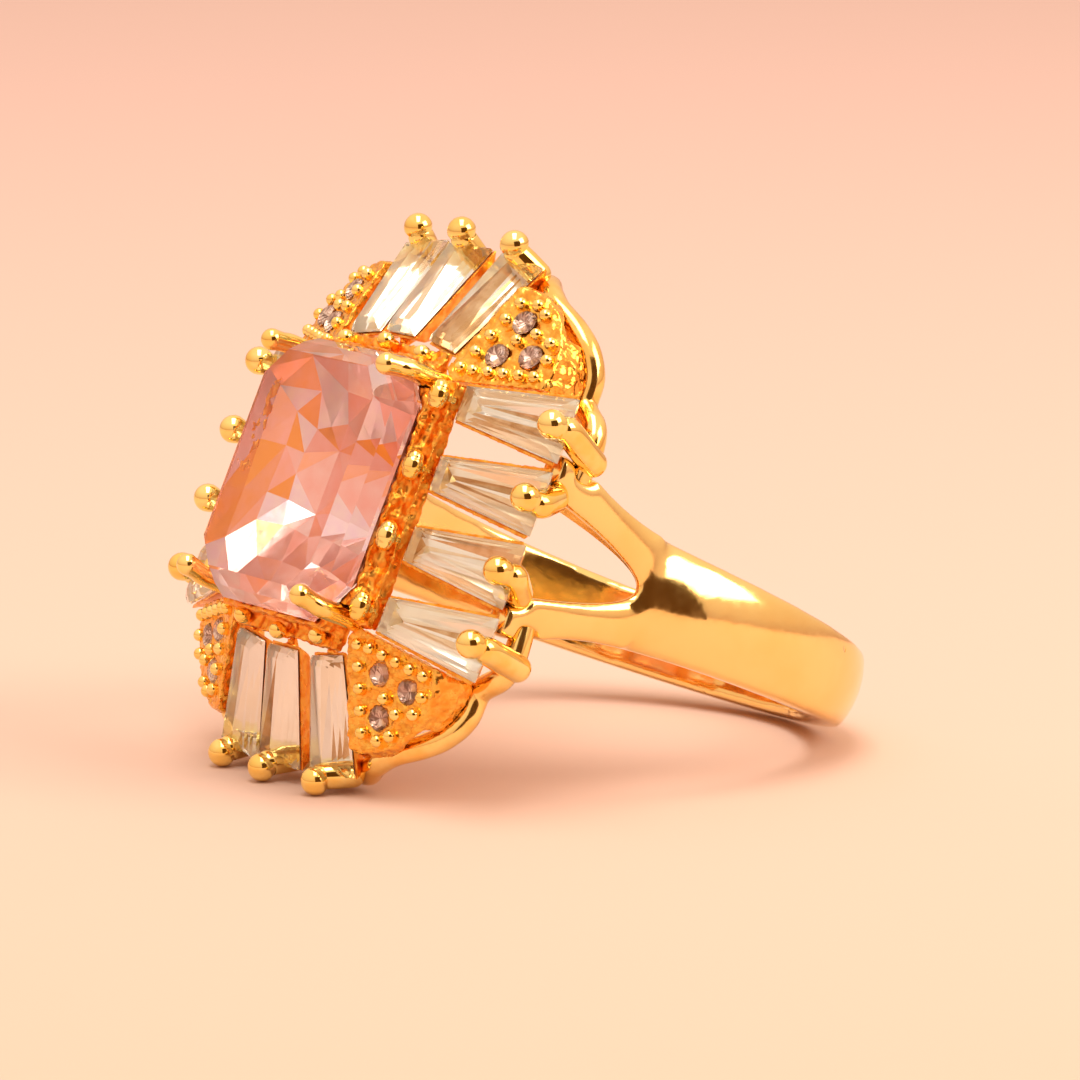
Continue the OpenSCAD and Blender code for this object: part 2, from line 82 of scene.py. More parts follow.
# Where the baguettes stand along a long side and along a short side, in pitches from its middle
LONG_SLOTS = (1.5, 0.5, -0.5, -1.5)
SHORT_SLOTS = (-1, 0, 1)
BEAD_PITCH = (2.62, 2.52)   # between inner beads: long side, short side
BALL_PITCH = (2.69, 3.16)   # between outer balls: long side, short side
BALL_R = 0.525

# Each corner's name, with the signs of its x and y
CORNERS = [(f"{v}_{h}", sx, sy) for v, sy in (("top", 1), ("bottom", -1))
           for h, sx in (("right", 1), ("left", -1))]


def place(points):
    """Points on the ring's axes, in mm, as row-frame points in metres."""
    return HOLE_M + np.asarray(points, float) @ AXES * MM


def on_ring(points_m):
    """Row-frame points in metres as points on the ring's axes, in mm."""
    return (np.asarray(points_m, float) - HOLE_M) @ AXES.T / MM


def up(x, y, z):
    """A point of the head, its height counted from the inner beads."""
    return np.array([x, y, BEADS + z], float)


def unit(v):
    return np.asarray(v, float) / np.linalg.norm(v)


def mix(a, b, t):
    return np.asarray(a, float) * (1 - t) + np.asarray(b, float) * t


# ---- meshes --------------------------------------------------------------------------------------

OFF_EVERY_ROD = [0.31, 0.87, 0.38]      # a direction that no rod runs along


def mesh_piece(name, points, faces, materials, which=None, smooth=True, tones=None):
    """A mesh object from ring points and faces. `which` is each face's material number."""
    mesh = bpy.data.meshes.new(name)
    mesh.from_pydata(place(points).tolist(), [], [list(map(int, f)) for f in faces])
    for material in materials:
        mesh.materials.append(material)
    if which is not None:
        mesh.polygons.foreach_set("material_index", np.asarray(which, np.int32))
    if tones is not None:
        tone = mesh.attributes.new("tone", "FLOAT", "FACE")
        tone.data.foreach_set("value", np.asarray(tones, np.float32))
    mesh.polygons.foreach_set("use_smooth", np.full(len(faces), smooth))
    mesh.update()
    obj = bpy.data.objects.new(name, mesh)
    bpy.context.scene.collection.objects.link(obj)
    return obj


def joined(parts):
    """Several (points, faces) as one."""
    points, faces, start = [], [], 0
    for some_points, some_faces in parts:
        points.append(np.asarray(some_points))
        faces.extend([[i + start for i in f] for f in some_faces])
        start += len(some_points)
    return np.vstack(points), faces


def finish_piece(obj, slot, *nodes):
    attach(obj, "root")
    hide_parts(*nodes)
    return obj


def node_points(node):
    """A CAD node's points, in mm on the ring's axes, and its triangles, with doubles merged."""
    mesh = frame["nodes"][node].data
    co = np.zeros(len(mesh.vertices) * 3, np.float32)
    mesh.vertices.foreach_get("co", co)
    co = on_ring(co.reshape(-1, 3))
    merged, index = np.unique(co.round(4), axis=0, return_inverse=True)
    index = index.reshape(-1)
    faces = [[int(index[i]) for i in p.vertices] for p in mesh.polygons]
    return merged, [f for f in faces if len(set(f)) == len(f)]


def islands(node):
    """The points of each separate solid of a CAD node."""
    points, faces = node_points(node)
    label = np.arange(len(points))
    corners = np.array([f[:3] for f in faces])
    while True:
        lowest = label[corners].min(axis=1)
        before = label.copy()
        for k in range(3):
            np.minimum.at(label, corners[:, k], lowest)
        if (before == label).all():
            return [points[label == n] for n in np.unique(label)]


def relax(co, edges, rounds, weight=1.0):
    """Moves each point half way to the middle of its neighbours, times its weight."""
    a, b = edges[:, 0], edges[:, 1]
    count = np.bincount(edges.ravel(), minlength=len(co))[:, None]
    for _ in range(rounds):
        total = np.stack([
            np.bincount(a, co[b, k], len(co)) + np.bincount(b, co[a, k], len(co))
            for k in range(3)
        ], axis=1)
        co = co + weight * 0.5 * (total / count - co)
    return co


def remeshed(node, voxel):
    """A CAD node's mesh in mm, cut anew into even cells of the size `voxel`."""
    points, faces = node_points(node)
    mesh = bpy.data.meshes.new("work")
    mesh.from_pydata(points.tolist(), [], faces)
    work = bpy.data.objects.new("work", mesh)
    bpy.context.scene.collection.objects.link(work)
    remesh = work.modifiers.new("even", "REMESH")
    remesh.mode = "VOXEL"
    remesh.voxel_size = voxel
    graph = bpy.context.evaluated_depsgraph_get()
    even = bpy.data.meshes.new_from_object(work.evaluated_get(graph))
    bpy.data.objects.remove(work)
    bpy.data.meshes.remove(mesh)
    return even


def skin(node, voxel, rounds, rough=0.0, lumps=0.5, zone=None):
    """A CAD node as one even, rounded casting: (points, faces)."""
    even = remeshed(node, voxel)
    co = np.zeros(len(even.vertices) * 3)
    even.vertices.foreach_get("co", co)
    edges = np.zeros(len(even.edges) * 2, np.int32)
    even.edges.foreach_get("vertices", edges)
    edges = edges.reshape(-1, 2)
    co = relax(co.reshape(-1, 3), edges, rounds)
    if zone:
        where, extra = zone
        co = relax(co, edges, extra, where(co))
    if rough:
        co = roughened(co, even, rough, lumps)
    faces = [list(p.vertices) for p in even.polygons]
    bpy.data.meshes.remove(even)
    return co, faces


def roughened(co, mesh, depth, lumps):
    """Points moved in by up to `depth` by a lumpy noise."""
    normals = np.zeros(len(co) * 3)
    mesh.vertices.foreach_get("normal", normals)
    level = np.array([noise.fractal(Vector(p) / lumps, 0.9, 2.0, 3) for p in co])
    return co - normals.reshape(-1, 3) * (depth * np.clip(0.5 + level, 0, 1))[:, None]


def spline(points, steps=8):
    """A smooth curve through points; a point may hold more than three numbers."""
    p = np.asarray(points, float)
    out = []
    for i in range(len(p) - 1):
        a, b, c, d = p[max(i - 1, 0)], p[i], p[i + 1], p[min(i + 2, len(p) - 1)]
        for t in np.arange(steps) / steps:
            out.append(0.5 * (2 * b + (c - a) * t + (2 * a - 5 * b + 4 * c - d) * t * t
                              + (3 * b - a - 3 * c + d) * t ** 3))
    return np.array(out + [p[-1]])


def rod_rings(line, cap):
    """Each ring of a rod as (centre, direction, radius), from one round end's tip to the other's."""
    last = len(line) - 1
    start, end = unit(line[1][:3] - line[0][:3]), unit(line[-1][:3] - line[-2][:3])
    turns = [math.radians(90 * k / cap) for k in range(cap + 1)]
    r = line[0][3]
    rings = [(line[0][:3] - start * r * math.cos(t), start, r * math.sin(t)) for t in turns[:-1]]
    for i, s in enumerate(line):
        ahead = unit(line[min(i + 1, last)][:3] - line[max(i - 1, 0)][:3])
        rings.append((s[:3], ahead, s[3]))
    r = line[-1][3]
    rings += [(line[-1][:3] + end * r * math.sin(t), end, r * math.cos(t)) for t in turns[1:]]
    return rings


def rod(stations, sides=28, cap=8):
    """A closed round rod through (x, y, z, radius) stations, with round ends."""
    rings = rod_rings(spline(stations), cap)
    points = [rings[0][0]]
    for centre, ahead, r in rings[1:-1]:
        side = unit(np.cross(ahead, OFF_EVERY_ROD))
        rise = np.cross(ahead, side)
        for k in range(sides):
            a = 2 * math.pi * k / sides
            points.append(centre + r * (side * math.cos(a) + rise * math.sin(a)))
    points.append(rings[-1][0])
    last = len(points) - 1
    faces = [[0, 1 + (k + 1) % sides, 1 + k] for k in range(sides)]
    for j in range(len(rings) - 3):
        a, b = 1 + j * sides, 1 + (j + 1) * sides
        faces += [[a + k, a + (k + 1) % sides, b + (k + 1) % sides, b + k] for k in range(sides)]
    a = 1 + (len(rings) - 3) * sides
    faces += [[a + k, a + (k + 1) % sides, last] for k in range(sides)]
    return np.array(points), faces


# ---- materials -----------------------------------------------------------------------------------


class Shader:
    """A node material with one Principled surface."""

    def __init__(self, name):
        self.material = bpy.data.materials.new(name)
        self.material.use_nodes = True
        self.nodes = self.material.node_tree.nodes
        self.links = self.material.node_tree.links
        self.surface = self.nodes["Principled BSDF"]

    def node(self, kind, **values):
        made = self.nodes.new(kind)
        for key, value in values.items():
            if key in made.inputs:
                made.inputs[key].default_value = value
            else:
                setattr(made, key, value)
        return made

    def link(self, source, target):
        self.links.new(source, target)

    def noise(self, size_mm, detail=3.0):
        """Noise whose features are about size_mm across, fixed to the object."""
        where = self.node("ShaderNodeTexCoord")
        made = self.node("ShaderNodeTexNoise", Detail=detail, Roughness=0.55)
        made.inputs["Scale"].default_value = 1 / (size_mm * MM)
        self.link(where.outputs["Object"], made.inputs["Vector"])
        return made.outputs["Fac"]

    def pits(self, apart_mm, share):
        """Zero nearly all over, with deep round dips here and there; share is a dip's size."""
        where = self.node("ShaderNodeTexCoord")
        cells = self.node("ShaderNodeTexVoronoi")
        cells.inputs["Scale"].default_value = 1 / (apart_mm * MM)
        self.link(where.outputs["Object"], cells.inputs["Vector"])
        return self.spread(cells.outputs["Distance"], share, 2 * share, -12.0, 0.0)

    def sum(self, first, second):
        made = self.node("ShaderNodeMath", operation="ADD")
        self.link(first, made.inputs[0])
        self.link(second, made.inputs[1])
        return made.outputs[0]

    def ramp(self, source, stops, smooth=True):
        made = self.node("ShaderNodeValToRGB")
        made.color_ramp.interpolation = "EASE" if smooth else "LINEAR"
        elements = made.color_ramp.elements
        while len(elements) < len(stops):
            elements.new(0.5)
        for element, (at, colour) in zip(elements, stops):
            element.position = at
            element.color = (*colour, 1.0)
        self.link(source, made.inputs["Fac"])
        return made.outputs["Color"]

    def spread(self, source, low, high, out_low, out_high):
        made = self.node("ShaderNodeMapRange")
        for key, value in (("From Min", low), ("From Max", high), ("To Min", out_low),
                           ("To Max", out_high)):
            made.inputs[key].default_value = value
        self.link(source, made.inputs["Value"])
        return made.outputs["Result"]

    def polish(self, size_mm, detail, least, most):
        """Roughness that wanders between two values."""
        self.link(self.spread(self.noise(size_mm, detail), 0.3, 0.7, least, most),
                  self.surface.inputs["Roughness"])

    def bump(self, source, strength, depth_mm):
        made = self.node("ShaderNodeBump", Strength=strength)
        made.inputs["Distance"].default_value = depth_mm * MM
        self.link(source, made.inputs["Height"])
        self.link(made.outputs["Normal"], self.surface.inputs["Normal"])


def gold(name, pale, deep, roughness, wave_mm, patch_mm=1.2, pits=False):
    """Polished plate: two near colours in patches, uneven polish, a faint wave, a few pits."""
    s = Shader(name)
    s.surface.inputs["Metallic"].default_value = 1.0
    patches = s.noise(patch_mm)
    s.link(s.ramp(patches, [(0.35, deep), (0.65, pale)]), s.surface.inputs["Base Color"])
    s.polish(0.35, 4.0, roughness * 0.7, roughness * 1.4)
    height = s.noise(0.5)
    if pits:
        height = s.sum(height, s.pits(1.9, 0.035))
    s.bump(height, 0.35, wave_mm)
    return s.material


def glass(name, tint, ior):
    """A stone's polished top."""
    s = Shader(name)
    s.surface.inputs["Transmission Weight"].default_value = 1.0
    s.surface.inputs["IOR"].default_value = ior
    clouds = s.noise(1.5, 2.0)
    dimmer = tuple(c * 0.96 for c in tint)
    s.link(s.ramp(clouds, [(0.3, dimmer), (0.7, tint)]), s.surface.inputs["Base Color"])
    s.polish(0.2, 3.0, 0.01, 0.03)
    return s.material


def foil(name, stops, metallic, roughness):
    """A stone's foiled back: each facet has its own tone, clouded a little; the tones are painted
    reflections, pale ones painted highlights and dark ones painted dark reflections.
    """
    s = Shader(name)
    s.surface.inputs["Metallic"].default_value = metallic
    facet = s.node("ShaderNodeAttribute", attribute_name="tone")
    cloud = s.spread(s.noise(0.6, 4.0), 0.3, 0.7, -0.08, 0.08)
    tone = s.sum(facet.outputs["Fac"], cloud)
    s.link(s.ramp(tone, stops, smooth=False), s.surface.inputs["Base Color"])
    s.polish(0.25, 3.0, roughness * 0.6, roughness * 1.4)
    return s.material


GOLD = gold("gold_polished", (1.0, 0.75, 0.30), (0.99, 0.70, 0.25), 0.12, 0.008, 3.0, True)
GOLD_WIRE = gold("gold_wire", (1.0, 0.74, 0.27), (0.97, 0.60, 0.16), 0.12, 0.008)
GOLD_BRIGHT = gold("gold_prongs", (1.0, 0.80, 0.30), (0.98, 0.68, 0.18), 0.08, 0.006)
# Basket and seats: rough, lumpy cast gold, in a deeper, darker orange that is painted shade for
# parts sitting low in the head under the stones.
GOLD_CAST_PAINTED_SHADE = gold("gold_cast_painted_shade", (0.97, 0.50, 0.09), (0.88, 0.30, 0.03), 0.32, 0.04, 0.4)
# Pavé plates: rough set gold, in a deeper orange that is painted shade for the ground between the
# grains and the small stones.
GOLD_PAVE_PAINTED_SHADE = gold("gold_pave_painted_shade", (0.98, 0.56, 0.11), (0.90, 0.38, 0.05), 0.22, 0.03, 0.35)

# Each foil's ramp, picked by a facet's tone: the palest stops are painted highlights, and the orange
# and brown low stops are painted reflections; the smoky foil's brown is partly the stone's own
# colour.
PINK_FOIL_PAINTED_REFLECTIONS = foil("pink_foil_painted_reflections", [
    (0.0, (1.0, 0.42, 0.06)), (0.22, (1.0, 0.48, 0.26)), (0.45, (1.0, 0.55, 0.50)),
    (0.68, (1.0, 0.70, 0.66)), (0.88, (1.0, 0.93, 0.92)), (1.0, (0.96, 0.82, 0.98)),
], 0.55, 0.18)
PINK_GLASS = glass("pink_crown", (1.0, 0.85, 0.85), 1.5)
CLEAR_FOIL_PAINTED_REFLECTIONS = foil("clear_foil_painted_reflections", [
    (0.0, (0.62, 0.36, 0.15)), (0.2, (0.98, 0.76, 0.50)), (0.5, (1.0, 0.93, 0.80)),
    (0.8, (1.0, 0.98, 0.92)), (1.0, (1.0, 1.0, 0.98)),
], 0.6, 0.1)
CLEAR_GLASS = glass("clear_crown", (1.0, 0.995, 0.985), 1.36)
SMOKY_FOIL_PAINTED_REFLECTIONS = foil("smoky_foil_painted_reflections", [
    (0.0, (0.22, 0.12, 0.09)), (0.4, (0.58, 0.38, 0.32)), (1.0, (0.98, 0.82, 0.74)),
], 0.6, 0.2)
SMOKY_GLASS = glass("smoky_crown", (0.97, 0.90, 0.87), 1.45)


# ---- gold pieces ---------------------------------------------------------------------------------


def casting(node, material, voxel, rounds, rough, lumps=0.5):
    """A CAD node as a rounded casting with a slightly lumpy face."""
    points, faces = skin(node, voxel, rounds, rough, lumps)
    obj = mesh_piece(f"look_{node}", points, faces, [material])
    return finish_piece(obj, "gold_plate", node)


def shank():
    """The band and its shoulders, blended across the head where each shoulder leaves the band."""
    blend_at, blend_reach = 4.4, 1.7

    def by_shoulder(co):
        near = np.exp(-((co[:, 2] - blend_at) / blend_reach) ** 2)
        return near[:, None] * ACROSS

    points, faces = skin("split_shank", 0.084, 29, zone=(by_shoulder, 207))
    obj = mesh_piece("look_split_shank", points, faces, [GOLD])
    return finish_piece(obj, "gold_plate", "split_shank")


def turned(stations, half_turn):
    """Stations turned half a turn about the head's axis."""
    s = np.asarray(stations, float).copy()
    if half_turn:
        s[:, :2] *= -1
    return s


def bow(slot):
    """One for a short side's middle piece, which stands a little further out, and zero beside it."""
    return 1 - abs(slot)


def rail(name, half_turn):
    """A bent rod from inside one shoulder, past two corners, to the other shoulder."""
    bends = [(8.75, 2.7, -4.15, 0.42), (8.85, 3.4, -4.15, 0.44), (8.85, 4.0, -4.15, 0.45),
             (8.55, 4.65, -4.15, 0.45), (7.6, 5.3, -4.15, 0.45), (7.5, 6.3, -4.1, 0.45),
             (7.2, 7.1, -3.8, 0.45), (6.6, 7.7, -3.45, 0.45), (5.5, 8.3, -3.1, 0.45),
             (4.5, 8.85, -3.2, 0.45), (3.55, 9.15, -3.65, 0.45), (2.4, 9.0, -3.68, 0.45),
             (1.0, 8.95, -3.58, 0.45)]
    half = [[*up(x, y, z), r] for x, y, z, r in bends]
    other = [[-x, y, z, r] for x, y, z, r in reversed(half)]
    points, faces = rod(turned(half + other, half_turn), 20)
    obj = mesh_piece(f"look_{name}", points, faces, [GOLD_WIRE])
    return finish_piece(obj, "gold_plate", name)


def outer_prong_long(slot):
    """A ball on a thick stem that leans in to the rail or the shoulder."""
    ball = up(9.71, BALL_PITCH[0] * slot, -1.67)
    top = ball - [0, 0, 0.72]
    if abs(slot) > 1:
        foot = up(9.1, 2.53 * slot - 0.35, -4.25)
    else:
        foot = up(9.15, 1.75 * np.sign(slot), -3.2)
    return [[*foot, 0.5], [*mix(foot, top, 0.5), 0.51], [*top, 0.49],
            [*(ball - [0, 0, 0.4]), 0.43], [*(ball - [0, 0, 0.2]), 0.49], [*ball, BALL_R]]


def outer_prong_short(slot):
    """A ball on a thick stem that leans in to the rail."""
    lift = bow(slot)
    ball = up(BALL_PITCH[1] * slot, 10.07 + 0.1 * lift, -1.95 + 0.24 * lift)
    top = ball + [0, -0.26, -0.26]
    foot = up(3.55 * slot, 9.4 - 0.2 * lift, -3.05 - 0.25 * lift)
    return [[*foot, 0.48], [*mix(foot, top, 0.5), 0.49], [*top, 0.48],
            [*mix(top, ball, 0.4), 0.45], [*mix(top, ball, 0.7), 0.49], [*ball, BALL_R]]


def inner_bead_long(slot):
    """A rice grain that lies along the stone's side."""
    c = up(4.95, BEAD_PITCH[0] * slot, 0)
    return [[*(c - [0, 0.24, 0]), 0.31], [*(c - [0, 0.12, 0]), 0.37], [*(c + [0, 0.12, 0]), 0.37],
            [*(c + [0, 0.24, 0]), 0.31]]


def bead_post_long(slot):
    """The short post under a long side's inner bead."""
    c = up(4.95, BEAD_PITCH[0] * slot, 0)
    return [[*(c - [0, 0, 0.6]), 0.24], [*(c - [0, 0, 0.1]), 0.2]]


def inner_bead_short(slot):
    """A round bead that narrows down into its post."""
    c = up(BEAD_PITCH[1] * slot, 5.28 + 0.2 * bow(slot), -0.32)
    return [[*(c - [0, 0, 0.44]), 0.16], [*(c - [0, 0, 0.3]), 0.19], [*(c - [0, 0, 0.14]), 0.28],
            [*c, 0.31], [*(c + [0, 0, 0.02]), 0.31]]


def row_of_rods(name, shapes, slots, half_turn):
    """One side's small gold parts as one piece: every shape at every slot."""
    points, faces = joined([rod(turned(shape(slot), half_turn)) for slot in slots
                            for shape in shapes])
    obj = mesh_piece(f"look_{name}", points, faces, [GOLD_BRIGHT])
    return finish_piece(obj, "gold_plate", name)


def claw(name, sx, sy):
    """A post that leans in over the stone's cut corner to a ball."""
    foot, bend, tip = up(3.98, 4.43, -0.7), up(3.98, 4.43, 0.9), up(3.84, 4.3, 1.76)
    stations = np.array([[*foot, 0.37], [*mix(foot, bend, 0.6), 0.37], [*bend, 0.37],
                         [*mix(bend, tip, 0.5), 0.355], [*tip, 0.4]])
    stations[:, :2] *= [sx, sy]
    points, faces = rod(stations)
    obj = mesh_piece(f"look_{name}", points, faces, [GOLD_BRIGHT])
    return finish_piece(obj, "gold_plate", name)


def plate_axes(sx, sy):
    """A corner plate's upward direction, and two directions that lie in it."""
    n = unit([PLATE_SLOPE * sx, PLATE_SLOPE * sy, 1.0])
    side = unit(np.cross(n, [1, 0, 0]))
    return n, side, np.cross(n, side)


def grains(name, sx, sy):
    """Set beads on a corner plate, at the CAD's places."""
    n, side, other = plate_axes(sx, sy)
    r, below_top = 0.235, 0.21
    parts = []
    for points in islands(name):
        along = [(points @ d) for d in (side, other)]
        base = sum(d * (a.max() + a.min()) / 2 for d, a in zip((side, other), along))
        centre = base + n * ((points @ n).max() - below_top)
        parts.append(rod([[*(centre - n * 0.06), r * 0.98], [*centre, r]], 20, 6))
    points, faces = joined(parts)
    obj = mesh_piece(f"look_{name}", points, faces, [GOLD_BRIGHT])
    return finish_piece(obj, "gold_plate", name)


# ---- stones --------------------------------------------------------------------------------------


def cut_corner(hx, hy, c, z, splits=(3, 2, 1)):
    """A cut-corner outline. `splits` cuts each long side, short side and corner into parts."""
    corners = [(hx, -hy + c), (hx, hy - c), (hx - c, hy), (-hx + c, hy),
               (-hx, hy - c), (-hx, -hy + c), (-hx + c, -hy), (hx - c, -hy)]
    counts = [splits[0], splits[2], splits[1], splits[2]] * 2
    out = []
    for i, (x, y) in enumerate(corners):
        nx, ny = corners[(i + 1) % 8]
        out += [up(x + (nx - x) * k / counts[i], y + (ny - y) * k / counts[i], z)
                for k in range(counts[i])]
    return out


def between(ring):
    """The middles between a ring's points."""
    return [mix(p, ring[(i + 1) % len(ring)], 0.5) for i, p in enumerate(ring)]


def zigzag(lower, upper, count):
    """Triangles between two rings of equal count, the upper one half a step on."""
    faces = []
    for i in range(count):
        j = (i + 1) % count
        faces += [[lower + i, lower + j, upper + i], [upper + i, lower + j, upper + j]]
    return faces


def outward(points, faces):
    """Faces of a convex-looking solid, each turned to face away from its middle."""
    points = np.asarray(points)
    middle = points.mean(axis=0)
    out = []
    for f in faces:
        p = points[f]
        n = np.cross(p, np.roll(p, -1, axis=0)).sum(axis=0)
        out.append(f if n @ (p.mean(axis=0) - middle) > 0 else f[::-1])
    return out


def band(lower, upper, count):
    """Four-sided faces between two rings of equal count."""
    return [[lower + i, lower + (i + 1) % count, upper + (i + 1) % count, upper + i]
            for i in range(count)]


def pink_crown(hx, hy):
    """Girdle top, bevelled crown and table, then the girdle's lower ring: (points, faces)."""
    rings = [cut_corner(hx - 0.02, hy - 0.02, 1.5, GIRDLE + 0.08),
             cut_corner(hx - 0.35, hy - 0.35, 1.4, GIRDLE + 0.75),
             cut_corner(hx - 0.85, hy - 0.85, 1.0, TABLE - 0.01),
             cut_corner(hx - 0.02, hy - 0.02, 1.5, GIRDLE - 0.08)]
    count = len(rings[0])
    faces = band(0, count, count) + band(count, 2 * count, count)
    faces.append([2 * count + i for i in range(count)])
    faces += band(3 * count, 0, count)
    return [p for ring in rings for p in ring], faces


def shaken(ring, shake, rng):
    """A ring's points, each moved at random."""
    return [p + [rng.uniform(-shake, shake), rng.uniform(-shake, shake),
                 rng.uniform(-0.6, 0.6) * shake] for p in ring]


def pink_keel(points, ring_at, count, keel_at):
    """Faces from the lowest ring to the keel's two ends."""
    faces = []
    for i in range(count):
        a, b = ring_at + i, ring_at + (i + 1) % count
        near = [keel_at + (0 if points[k][1] < 0 else 1) for k in (a, b)]
        if near[0] == near[1]:
            faces.append([a, b, near[0]])
        else:
            faces += [[a, b, near[1]], [a, near[1], near[0]]]
    return faces


def pink_stone():
    """A radiant cut: a broad table, bevelled crown and a crushed pavilion of small facets."""
    rng = random.Random(7)
    hx, hy = STONE_HALF
    points, faces = pink_crown(hx, hy)
    crown_faces = len(faces)
    count = len(points) // 4
    ring_at = 3 * count
    for inset, depth, c, shake, half_step in ((0.75, 0.75, 1.35, 0.10, False),
                                              (1.8, 1.5, 1.0, 0.2, False),
                                              (2.9, 2.1, 0.6, 0.15, True)):
        ring = cut_corner(hx - inset, hy - inset, c, GIRDLE - 0.08 - depth)
        at = len(points)
        points += shaken(between(ring) if half_step else ring, shake, rng)
        faces += zigzag(ring_at, at, count)
        ring_at = at
    keel_at = len(points)
    points += [up(0, -1.2, GIRDLE - 2.85), up(0, 1.2, GIRDLE - 2.85)]
    faces += pink_keel(points, ring_at, count, keel_at)
    which = [0] * crown_faces + [1] * (len(faces) - crown_faces)
    faces = outward(points, faces)
    tones = [pink_tone(np.array([points[i] for i in f]).mean(axis=0), rng) for f in faces]
    obj = mesh_piece("look_pink_stone", points, faces, [PINK_GLASS, PINK_FOIL_PAINTED_REFLECTIONS], which, False, tones)
    return finish_piece(obj, "pink_crystal", "pink_stone")


def pink_tone(at, rng):
    """Mostly pink: warmer on the left and cooler on the right, which is painted light, and a few
    pale facets anywhere as painted highlights.
    """
    tone = rng.gauss(0.55, 0.2)
    if at[0] < -1.8:
        tone -= 0.3
    if at[0] > 2.8:
        tone += 0.15
    if rng.random() < 0.14:
        tone = 0.95
    return min(max(tone, 0.0), 1.0)


def local_frame(a, b):
    """Length direction, sideways and outward directions of a stone from a to b."""
    length = np.linalg.norm(b - a)
    d = (b - a) / length
    side = unit(np.cross([0, 0, 1], d))
    return d, side, np.cross(d, side), length


def tapered_ring(length, w, inset, height, share):
    """A trapezoid's corners, drawn in all round by inset, then its width cut to a share."""
    lean = (w[1] - w[0]) / 2 / length
    out = []
    for x in (inset, length - inset):
        half = (w[0] / 2 + lean * x - inset) * share
        out.append((x, -half, height))
        out.append((x, half, height))
    return [out[0], out[2], out[3], out[1]]


def baguette(name, a, b, w, half_turn, seed):
    """A tapered step cut: table, two crown steps, and a pavilion of long split steps."""
    rng = random.Random(seed)
    d, side, n, length = local_frame(a, b)
    w0 = w[0]
    rings = [(0.38, 0.41, 1.0), (0.16, 0.3, 1.0), (0.0, 0.12, 1.0), (0.0, 0.0, 1.0),
             (0.17 * w0, -0.42, 0.9), (0.32 * w0, -0.7, 0.55), (0.44 * w0, -0.88, 0.15)]
    crown_bands = 3
    local = np.array([p for inset, height, share in rings
                      for p in tapered_ring(length, w, inset, height, share)])
    faces = [[0, 1, 2, 3]] + [q for r in range(crown_bands) for q in band(4 * r, 4 * r + 4, 4)]
    tones = [1.0] * len(faces)
    crown_faces = len(faces)
    for r in range(crown_bands, len(rings) - 1):
        for k, quad in enumerate(band(4 * r, 4 * r + 4, 4)):
            q = quad if rng.random() < 0.5 else quad[1:] + quad[:1]
            faces += [[q[0], q[1], q[2]], [q[0], q[2], q[3]]]
            tones += [clear_tone(rng, k in (1, 3)) for _ in range(2)]
    last = 4 * (len(rings) - 1)
    faces.append([last, last + 1, last + 2, last + 3])
    tones.append(0.9)
    which = [0] * crown_faces + [1] * (len(faces) - crown_faces)
    world = a + local[:, :1] * d + local[:, 1:2] * side + local[:, 2:] * n
    faces = outward(world, faces)
    if half_turn:
        world[:, :2] *= -1
    obj = mesh_piece(f"look_{name}", world, faces, [CLEAR_GLASS, CLEAR_FOIL_PAINTED_REFLECTIONS], which, False, tones)
    return finish_piece(obj, "clear_crystal", name)


def clear_tone(rng, is_end):
    """Mostly pale, the palest facets painted highlights, with some dark streaks that are painted
    dark reflections; the ends are darker, painted shade.
    """
    tone = rng.choice([0.05, 0.3, 0.6, 0.8, 0.95, 1.0])
    return tone * (0.85 if is_end else 1.0)


def round_stone(name, sx, sy):
    """A small brilliant: a table, a faceted crown and a shallow cone."""
    lo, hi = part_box(name)
    centre = on_ring((np.array(lo) + np.array(hi)) / 2)
    n, side, other = plate_axes(sx, sy)
    rng = random.Random(name)
    r, count = 0.47, 16

    def ring(radius, height, turn=0.0):
        angles = [2 * math.pi * (k + turn) / count for k in range(count)]
        return [centre + radius * (math.cos(a) * side + math.sin(a) * other) + n * height
                for a in angles]

    rings = [ring(r * 0.56, 0.17, 0.5), ring(r * 0.84, 0.10), ring(r, 0.0), ring(r, -0.03),
             ring(r * 0.5, -0.14, 0.5)]
    points = [p for one in rings for p in one] + [centre - n * 0.2]
    faces, which = [list(range(count))], [0]
    for k in range(len(rings) - 1):
        faces += zigzag((k + 1) * count, k * count, count)
        which += [0 if k < 3 else 1] * (2 * count)
    tip, lowest = len(points) - 1, (len(rings) - 1) * count
    faces += [[lowest + i, lowest + (i + 1) % count, tip] for i in range(count)]
    which += [1] * count
    faces = outward(points, faces)
    # Each facet's tone is partly random and partly painted light: the palest are painted highlights,
    # the darkest painted dark reflections.
    tones = [rng.choice([0.05, 0.3, 0.55, 1.0]) for _ in faces]
    obj = mesh_piece(f"look_{name}", points, faces, [SMOKY_GLASS, SMOKY_FOIL_PAINTED_REFLECTIONS], which, False, tones)
    return finish_piece(obj, "smoky_crystal", name)


# ---- the ring ------------------------------------------------------------------------------------


